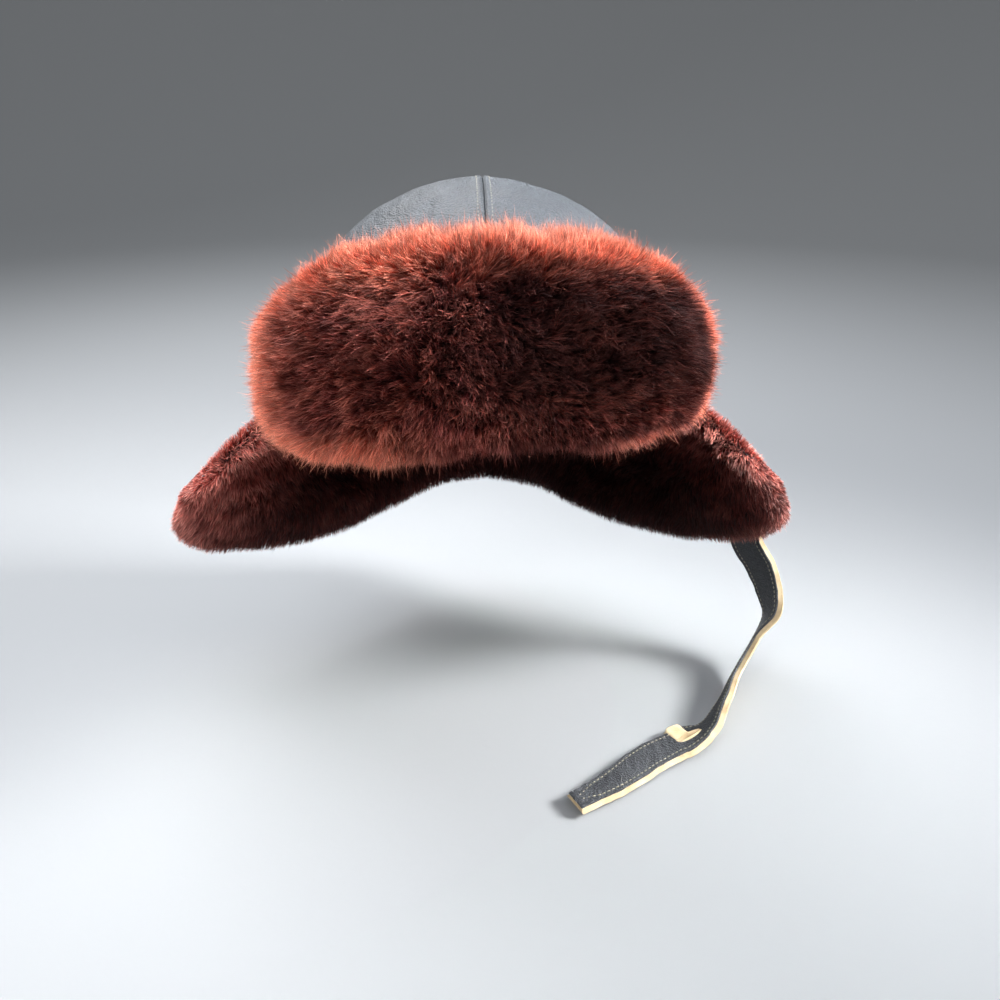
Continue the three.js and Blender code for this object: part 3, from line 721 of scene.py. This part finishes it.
# angle, then x, y, z of the free edge, the straight drop and how far the panel stands out
flapSections = [
    (76, 168, -4, -160, 11, 27), (82, 176, 0, -174, 15, 23), (88, 177, 4, -187, 20, 16),
    (94, 169, 10, -197, 28, 8), (101, 155, 20, -204, 36, 2), (110, 132, 34, -209, 44, 0),
    (124, 100, 56, -211, 48, 0), (140, 70, 81, -207, 48, 0), (160, 37, 105, -201, 46, 0),
    (180, 0, 113, -198, 44, 0),
]
flapPanel = {
    "wall": 2, "overlap": 3, "columns": 72, "rows": 40, "foldDepth": 1.3, "foldSize": 34,
    "freeStitches": 6, "topStitches": 4.5,
}
flapPile = {
    "depth": 13, "pastFront": 11, "pastEnd": 14, "squareness": 2.6, "topInset": 5, "roll": 0.07,
    "under": 7, "past": 0.4, "columns": 150, "rows": 90, "strands": 42000, "width": 0.54,
    "tuft": 2.4, "tuftPull": 0.3, "lockSize": 11, "lockPull": 0.14, "flowSize": 26, "flowTilt": 0.3,
    "stray": 0.16, "tuftCurl": 0.16, "lockCurl": 0.22, "droop": 0.04, "uneven": 0.1, "lump": 0.5,
    "guardShare": 0.01, "guardReach": 2, "tuftTone": 0.5, "lockTone": 0.5, "seed": 23,
}
flapButton = {"radius": 8, "thickness": 3.6, "rim": 1.2, "angle": 90, "along": 0.8}


def flapPoint(angle, along):
    # a quadratic curve from just over the crown's edge, straight down at first, to the free edge
    _, x, y, z, drop, spread = rowAt(flapSections, angle)
    turn = np.radians(angle)
    edge = edgeZ(turn)
    start = overCrown(turn, edge + flapPanel["overlap"], touchGap + flapPanel["wall"] / 2)[0]
    bend = start + unit(start * [1, 1, 0]) * spread[..., None] - drop[..., None] * np.array([0, 0, 1.0])
    end = np.stack([x, y, z], axis=-1)
    f = np.asarray(along)[..., None]
    return start * (1 - f) ** 2 + bend * 2 * (1 - f) * f + end * f**2


def flapNormal(angle, along):
    # steps round the hat times steps down the panel: it points in, to the fur
    around = flapPoint(angle + 1, along) - flapPoint(angle - 1, along)
    down = flapPoint(angle, along + 0.02) - flapPoint(angle, along - 0.02)
    return unit(np.cross(around, down))


def flapAngle(across):
    # the angle round the hat, closer together at the front of the flap
    return lerp(flapSections[0][0], flapSections[-1][0], across**1.25)


def besideSeam(points):
    # nothing crosses the hat's middle plane
    return np.maximum(points, [0, -1e9, -1e9])


def flapStitches(side, angle, down):
    # a row on the leather's outer face, at the given places down the panel
    out = -flapNormal(angle, down)
    path = flapPoint(angle, down) + out * (flapPanel["wall"] / 2 + 0.15)
    return stitchRow(ontoSide(path, side), out * [side, 1, 1])


def flapLeather(side):
    # a sheet on both sides of the middle surface: soft folds push its outer face out, and its
    # borders are rounded
    across, along = shareGrid((0, 1), flapPanel["columns"] + 1, (0, 1), flapPanel["rows"] + 1)
    angle = flapAngle(across)
    middle, out = flapPoint(angle, along), flapNormal(angle, along)
    fold = softNoise(angle * 2.2 + 300, along * 90 + 300, flapPanel["foldSize"], 6)
    fold = flapPanel["foldDepth"] * fold * smoothstep(along, 0.05, 0.35)
    length = sizeOf(flapPoint(angle, along * 0 + 1) - flapPoint(angle, along * 0))
    near = np.minimum(np.minimum(along, 1 - along) * length, across * 230)
    half = flapPanel["wall"] / 2 - edgeRound(near, 0.95)
    outer = besideSeam(middle - out * (half + 0.6 * np.maximum(fold, 0))[..., None])
    inner = besideSeam(middle + out * half[..., None])
    points, faces = closedShell(outer, inner)
    name, points = sideNames[side], ontoSide(points, side)
    meshPiece(f"flap_{name}_leather", points, faces, nappa, "crown_leather", [f"flap_{name}"], merge=True)
    free = np.linspace(0.012, 0.985, 500)
    freeRow = flapStitches(
        side, flapAngle(free), 1 - flapPanel["freeStitches"] / np.interp(free, across[:, 0], length[:, 0]))
    top = flapAngle(np.linspace(0.03, 0.985, 500))
    topRow = flapStitches(side, top, flapPanel["topStitches"] / np.interp(top, angle[:, 0], length[:, 0]))
    rows = joinRows([freeRow, topRow])
    meshPiece(f"flap_{name}_stitches", *rows, waxedThread, "crown_leather", sharp=0)


def roundedOff(share, reach):
    # a squared quarter ellipse: 0 at the border and 1 beyond the reach
    n = flapPile["squareness"]
    f = np.clip(share / reach, 0, 1)
    return (1 - (1 - f) ** n) ** (1 / n)


def flapSurface(across, down, under):
    # a pad on the inner face that swells past the front and the free edge; beyond the ends of
    # the grid, across below 0 or down above 1, it rolls round the edge of the leather
    frontTurn = np.radians(80) * np.clip(-across / flapPile["roll"], 0, 1)
    endTurn = np.radians(72) * np.clip((down - 1) / flapPile["roll"], 0, 1)
    across, down = np.maximum(across, 0), np.minimum(down, 1)
    angle = flapAngle(across)
    length = sizeOf(flapPoint(angle, across * 0) - flapPoint(angle, across * 0 + 1))
    along = lerp(flapPile["topInset"] / length, 1, down)
    forward = unit(flapPoint(angle - 1, along) - flapPoint(angle + 1, along))
    low = unit(flapPoint(angle, along) - flapPoint(angle, along - 0.04))
    out = flapNormal(angle, along)
    height = roundedOff(across, 0.1) * roundedOff(1 - down, 0.2) * (0.25 + 0.75 * roundedOff(down, 0.35))
    base = flapPoint(angle, along) + out * (flapPanel["wall"] / 2 + touchGap)
    keep = 1 - under / flapPile["depth"]
    nearFront = (1 - smoothstep(across, 0.02, 0.18)) * smoothstep(down, 0, 0.3)
    point = base + out * (flapPile["depth"] * height * keep)[..., None]
    pastFront = (max(flapPile["pastFront"] - under, 0) * nearFront)[..., None]
    pastEnd = (max(flapPile["pastEnd"] - under, 0) * smoothstep(down, 0.6, 0.95))[..., None]
    frontTurn, endTurn = frontTurn[..., None], endTurn[..., None]
    point = point + pastFront * forward * np.cos(frontTurn) + pastEnd * low * np.cos(endTurn)
    point = point - out * np.maximum(0.62 * pastFront * np.sin(frontTurn), 0.55 * pastEnd * np.sin(endTurn))
    return besideSeam(point), besideSeam(base), out


def flapCoat(side):
    # the undercoat, then the hairs between it and the pad's surface, which roll past its edges
    name = sideNames[side]
    columns, rows, roll = (flapPile[k] for k in ("columns", "rows", "roll"))
    across, down = shareGrid((0, 1), columns // 2 + 1, (0, 1), rows // 2 + 1)
    surface, base, _ = flapSurface(across, down, flapPile["under"])
    border = np.ones(surface.shape[:2], bool)
    border[1:, 1:-1] = False  # full depth at the nape seam
    points, faces = closedShell(np.where(border[..., None], base, surface), base)
    stands = [f"flap_fur_{name}"]
    meshPiece(f"flap_{name}_undercoat", ontoSide(points, side), faces, liningWool, "fur", stands, merge=True)
    across, down = shareGrid((-roll, 1), columns + 9, (0, 1 + roll), rows + 7)
    tips, _, out = flapSurface(across, down, 0)
    surface = flapSurface(across, down, 8)[0]
    # painted rim glow on the front edge and the start of the free edge; the left flap is painted lighter,
    # with more rim glow, as it faces the lamps, and the right one darker in painted shade
    low = 0.7 * smoothstep(down, 0.88, 1.0) * (1 - smoothstep(across, 0.3, 0.5))
    rim = np.maximum(1 - smoothstep(across, 0.0, 0.1), low)
    dimLight, fullLight, litFlapGlow = (0.36, 1.35, 0.28) if side < 0 else (0.18, 0.6, 0.0)
    rim = np.clip(0.9 * rim + litFlapGlow * (1 - smoothstep(across, 0.15, 0.4)), 0, 1)
    paintedLight = np.maximum(lerp(dimLight, fullLight, 1 - smoothstep(across, 0.14, 0.36)), rim)
    full = smoothstep(sizeOf(tips - surface)[..., None], 1, 4.5)
    roots = lerp(tips - out * 2.6, surface, full)
    # beside the nape seam the hair is brushed over the seam, where the other flap's hair meets it
    brush = smoothstep(across, 0.94, 1)[..., None] * np.array([-0.45, 0, 0])
    pile = dict(flapPile, seed=flapPile["seed"] + side)
    points, strand, patch = growPile(tips, roots, pile, rim, paintedLight, brush)
    points = ontoSide(points, side)
    points[..., 0] = side * np.maximum(side * points[..., 0], -3)
    pilePieces(f"flap_{name}_pile", (points, strand, patch), flapDye, "fur", stands, 1)


def buttonPiece():
    # a low domed disc with a dished middle, turned from a profile of radius and height
    full, rim, top = flapButton["radius"], flapButton["rim"], flapButton["thickness"]
    bead = np.linspace(0, np.pi, 12)
    radius = np.concatenate([
        np.linspace(0, full - rim, 8), full - rim * (1 - np.sin(bead)), np.linspace(full - rim - 0.4, 0, 14)])
    height = np.concatenate([
        np.zeros(8), top * 0.85 * (1 - np.cos(bead)) / 2,
        top - 0.55 * smoothstep(np.linspace(0, 1, 14), 0.15, 0.6)])
    turn = np.linspace(0, 2 * np.pi, 49)[:, None]
    middle = (flapButton["angle"], flapButton["along"])
    away = -flapNormal(*middle)
    place = flapPoint(*middle) + away * (flapPanel["wall"] / 2 + touchGap + 0.2)
    a = unit(np.cross(away, [0, 0, 1.0]))
    b = np.cross(away, a)
    rim = a * np.cos(turn)[..., None] + b * np.sin(turn)[..., None]
    points = ontoSide(place + rim * radius[None, :, None] + away * height[None, :, None], -1)
    faces = gridFaces(*points.shape[:2])
    points = points.reshape(-1, 3)
    meshPiece("flap_button_face", points, faces, buttonFinish, "button", ["flap_button"], merge=True)


for side in (-1, 1):
    flapLeather(side)
    flapCoat(side)
buttonPiece()
print("flaps made")


# The chin strap.

strapSeam = [(88, 0.86), (90.5, 0.9), (93.5, 0.95), (97, 1.015)]
strapBends = [  # place of the back's middle line, then the direction from the near to the far edge
    (172, 22.5, -219, -0.88, 0.48, -0.1), (182, 17, -235, -0.8, 0.58, -0.15),
    (189.7, 11, -252, -0.5, 0.8, -0.34), (191, 2, -263.5, -0.08, 0.84, -0.5),
    (180.2, -6.8, -280, 0.34, 0.74, -0.58), (162.1, -26, -293.6, 0.33, 0.76, -0.56),
    (146, -49.5, -296.2, 0.26, 0.8, -0.54), (130.6, -67, -299.8, 0.06, 0.88, -0.47),
    (112, -74, -303, -0.38, 0.91, -0.12), (93, -83, -303.5, -0.44, 0.9, 0),
    (66, -101.5, -303.5, -0.45, 0.89, 0), (44.3, -113.7, -303.5, -0.5, 0.86, 0),
]
strap = {
    "width": 18, "tipWidth": 12, "tipLength": 50, "bevel": 1.4, "seamGap": 1.9, "bulge": 3,
    "coreTop": 3.3, "faceBottom": 3.6, "faceTop": 5, "stations": 200,
    "slitMiddle": 0.725, "slitLength": 20, "slitWidth": 3.8, "lip": 1.9, "blockReach": 2.4,
    "stitchInset": 2.3, "stitchPitch": 3.0, "lumps": 0.28,
}


def splineThrough(points, u):
    # centripetal Catmull-Rom through the points, u from 0 at the first to 1 at the last
    points = np.asarray(points, float)
    last = len(points) - 1
    padded = np.concatenate([[2 * points[0] - points[1]], points, [2 * points[-1] - points[-2]]])
    p = np.clip(np.asarray(u) * last, 0, last)
    i = np.minimum(np.floor(p).astype(int), last - 1)
    f = (p - i)[..., None]
    p0, p1, p2, p3 = (padded[i + k] for k in range(4))
    d0, d1, d2 = (sizeOf(b - a)[..., None] ** 0.5 for a, b in ((p0, p1), (p1, p2), (p2, p3)))
    m1 = ((p1 - p0) / d0 - (p2 - p0) / (d0 + d1) + (p2 - p1) / d1) * d1
    m2 = ((p2 - p1) / d1 - (p3 - p1) / (d1 + d2) + (p3 - p2) / d2) * d1
    return p1 + m1 * f + (-3 * p1 + 3 * p2 - 2 * m1 - m2) * f**2 + (2 * p1 - 2 * p2 + m1 + m2) * f**3


def strapRoute():
    # the part sewn on the flap's outer face, then the bends: middle line and direction across
    lift = flapPanel["wall"] / 2 + strap["seamGap"] + strap["faceTop"]
    angle, along = np.array(strapSeam).T
    across = unit(flapPoint(angle, along - 0.07) - flapPoint(angle, along + 0.07))
    sewn = flapPoint(angle, along) - flapNormal(angle, along) * lift + [seamGap / 2, 0, 0]
    bends = np.array(strapBends)
    return np.concatenate([sewn, bends[:, :3]]), np.concatenate([across, unit(bends[:, 3:])])


places, directions = strapRoute()
fineU = np.linspace(0, 1, 3001)
fineStep = sizeOf(np.diff(splineThrough(places, fineU), axis=0))
fineRun = np.concatenate([[0], np.cumsum(fineStep)])
strapLength = fineRun[-1]


def strapStation(share):
    # place, and the directions across the strap and out of its face
    u = np.interp(share, fineRun / strapLength, fineU)
    along = unit(splineThrough(places, u + 1e-4) - splineThrough(places, u - 1e-4))
    out = unit(np.cross(splineThrough(directions, u), along))
    return splineThrough(places, u), unit(np.cross(along, out)), out


def fromSlit(share):
    # -1 and 1 at the slit's ends
    return (share - strap["slitMiddle"]) * strapLength / (strap["slitLength"] / 2)


def slitShape(share):
    # half an ellipse: 1 at the slit's middle and 0 past its ends
    return np.sqrt(np.maximum(0, 1 - fromSlit(share) ** 2))


def strapHalf(share):
    # half the width: the taper to the tip, and the swelling round the slit
    taper = smoothstep((1 - share) * strapLength, 0, strap["tipLength"])
    return (lerp(strap["tipWidth"], strap["width"], taper) + strap["bulge"] * slitShape(share)) / 2


def slitBlock(share):
    # 1 along the part of the far strand, towards the tip, where the raw hide is folded up
    off = fromSlit(share)
    return smoothstep(off, -0.15, 0.1) * (1 - smoothstep(off, 0.95, 1.2))


def strapLayer(name, low, high, material, slot, stands, rounding, wave, lip, widen):
    # a flat band between two heights with rounded edges, open along the slit; wave sinks the
    # stitch lines, lip raises the slit's edge and its folded block, widen opens the slit
    share = np.linspace(0, 1, strap["stations"] + 1)
    slitEnd = strap["slitLength"] / 2 / strapLength
    for k in (-1, 1):
        end = strap["slitMiddle"] + k * slitEnd
        share[np.argmin(np.abs(share - end))] = end
    place, across, out = strapStation(share)
    side = np.array([1, 0.985, 0.95, 0.9, 0.8, 0.6, 0.4, 0.22, 0.08, 0])
    half = strapHalf(share)[:, None]
    slit = ((strap["slitWidth"] / 2 + widen) * slitShape(share))[:, None]
    grids = []
    for height, sign in ((high, 1), (low, -1)):
        bevel = strap["bevel"] * max(0, 1 - height / strap["coreTop"])
        lumps = softNoise(share * strapLength, 0 * share + (3 if sign > 0 else 5), 3.2, 14)
        edge = half + bevel + strap["lumps"] * lumps[:, None]
        block = slitBlock(share)[:, None]
        farEdge = edge + strap["blockReach"] * block * (1 if lip else 0)
        farSlit = slit if lip else np.where(slit > 1e-3, lerp(slit, edge - 0.8, block), slit)
        a = np.concatenate([-lerp(slit, edge, side), lerp(farSlit, farEdge, side[::-1])], axis=1)
        fromEnd = np.minimum(share, 1 - share)[:, None] * strapLength
        near = np.minimum(np.where(a > 0, farEdge, edge) - np.abs(a), fromEnd)
        h = height - sign * edgeRound(near, rounding)
        if lip and sign > 0:
            rise = np.sqrt(slitShape(share))[:, None] * bell(np.abs(a) - slit, 1.8)
            h = h + lip * np.maximum(rise, block * (a > 0) * (0.85 + 0.25 * a / edge))
        if wave and sign > 0:
            gap = np.abs(np.abs(a) - (edge - strap["stitchInset"]))
            h = h - wave * bell(gap, 0.8) + 0.25 * wave * np.cos(np.pi * a / edge)
        grids.append(place[:, None] + across[:, None] * a[..., None] + out[:, None] * h[..., None])
    points, faces = closedShell(*grids)
    rows, columns = grids[0].shape[:2]
    count = rows * columns
    opened = slitShape(share) > 1e-3
    openRow = np.flatnonzero(opened[:-1] | opened[1:])
    centre = len(side) - 1
    dropTop = openRow * (columns - 1) + centre
    keep = np.ones(len(faces), bool)
    keep[dropTop] = False
    keep[dropTop + (rows - 1) * (columns - 1)] = False
    a = openRow * columns + centre
    left = np.stack([a, a + count, a + columns + count, a + columns], axis=1)
    b = a + 1
    right = np.stack([b, b + columns, b + columns + count, b + count], axis=1)
    faces = np.concatenate([faces[keep], left, right])
    meshPiece(name, points, faces, material, slot, stands, merge=True, sharp=50)


def strapStitches():
    # a row near each edge of the face, drawn together at the tip
    rows = []
    share = np.linspace(0.02, 0.996, 1200)
    place, across, out = strapStation(share)
    half = strapHalf(share)
    for sign in (-1, 1):
        drawn = lerp(0.25, 1, smoothstep((1 - share) * strapLength, 0, 16))
        a = sign * (half - strap["stitchInset"]) * drawn
        path = place + across * a[:, None] + out * (strap["faceTop"] - 0.15)
        rows.append(stitchRow(path, out, strap["stitchPitch"] * 0.8, 0.34, strap["stitchPitch"]))
    meshPiece("strap_stitches", *joinRows(rows), paleThread, "crown_leather", sharp=0)


strapLayer(
    "strap_raw_core", 0, strap["coreTop"] + 0.15, rawTan, "strap_core", ["chin_strap_core"],
    rounding=1.1, wave=0, lip=strap["lip"], widen=0)
strapLayer(
    "strap_dyed_face", strap["faceBottom"] - 0.1, strap["faceTop"], shadedStrapNappa, "crown_leather",
    ["chin_strap_face"], rounding=0.6, wave=0.3, lip=0, widen=1.7)
strapStitches()
print("strap made, length", round(float(strapLength), 1), "mm")


# Floor, light and camera.

floorDepth = 307.0  # just under the hanging strap


def paleFloor():
    # a round floor that curves up into a low plain wall: a profile of radius and height, turned
    material, tree = newMaterial("studioPaper")
    place = addNode(tree, "TexCoord").outputs["Object"]
    tooth = addNode(tree, "TexNoise", {"Vector": place, "Scale": 300.0})
    bump = addNode(tree, "Bump", {"Height": tooth, "Strength": 0.05, "Distance": 0.0005})
    finishMaterial(material, {"Base Color": linearColour("#86888a"), "Roughness": 0.9, "Normal": bump})
    bend = np.linspace(0, np.pi / 2, 24)
    radius = np.concatenate([[0.001, 300, 900, 1500], 2000 + 1300 * np.sin(bend), [3300]])
    height = np.concatenate([np.zeros(4), 1300 * (1 - np.cos(bend)), [3000]])
    turn = np.linspace(0, 2 * np.pi, 97)[:, None]
    grid = pointsOf(radius * np.sin(turn), radius * np.cos(turn), height - floorDepth)
    mesh = bpy.data.meshes.new("studio_floor")
    mesh.from_pydata((grid.reshape(-1, 3) * millimetre).tolist(), [], gridFaces(*grid.shape[:2]).tolist())
    mesh.shade_smooth()
    mesh.materials.append(material)
    floor = newObject("studio_floor", mesh)


def softLight(name, place, aim, size, power, colour="#ffffff", spread=180):
    # a plain rectangle of light, turned to its aim; size in metres and power in watts
    lamp = bpy.data.lights.new(name, "AREA")
    lamp.shape, lamp.size, lamp.size_y, lamp.energy = "RECTANGLE", size[0], size[1], power
    lamp.color = linearColour(colour)[:3]
    lamp.spread = np.radians(spread)
    holder = newObject(name, lamp)
    toward = np.array(aim, float) - np.array(place, float)
    holder.location = place
    holder.rotation_euler = mathutils.Vector(toward).to_track_quat("-Z", "Y").to_euler()


paleFloor()
softLight("windowBehind", (-0.45, 0.5, 0.9), (0, 0, -0.05), (0.9, 0.7), 21)
softLight("skyAbove", (0.1, 0.1, 1.0), (0, 0, -0.1), (1.3, 0.9), 17, "#eef4ff")
softLight("roomFront", (-0.8, -0.85, 0.8), (0, 0, -0.12), (0.6, 0.6), 15)
softLight("windowRight", (0.94, -0.13, 0.4), (0.18, -0.04, -0.08), (0.3, 0.4), 3.3, spread=40)
softLight("wallWash", (0, 0.4, 2.4), (0, 3.0, 0.4), (2.0, 0.6), 30)
world = bpy.data.worlds.new("studioRoom")
bpy.context.scene.world = world
world.use_nodes = True
room = world.node_tree.nodes["Background"].inputs
room["Color"].default_value, room["Strength"].default_value = linearColour("#e4e7ea"), 0.5

camera = bpy.data.cameras.new("photoView")
camera.sensor_width, camera.lens = 36, 27.0
camera.clip_start = 0.01
holder = newObject("photoView", camera)
holder.location = (-0.0087, -0.396, 0.032)
holder.rotation_euler = (np.radians(62.5), 0, np.radians(-2.5))
bpy.context.scene.camera = holder
bpy.context.scene.view_settings.view_transform = "Standard"
print("stage set")
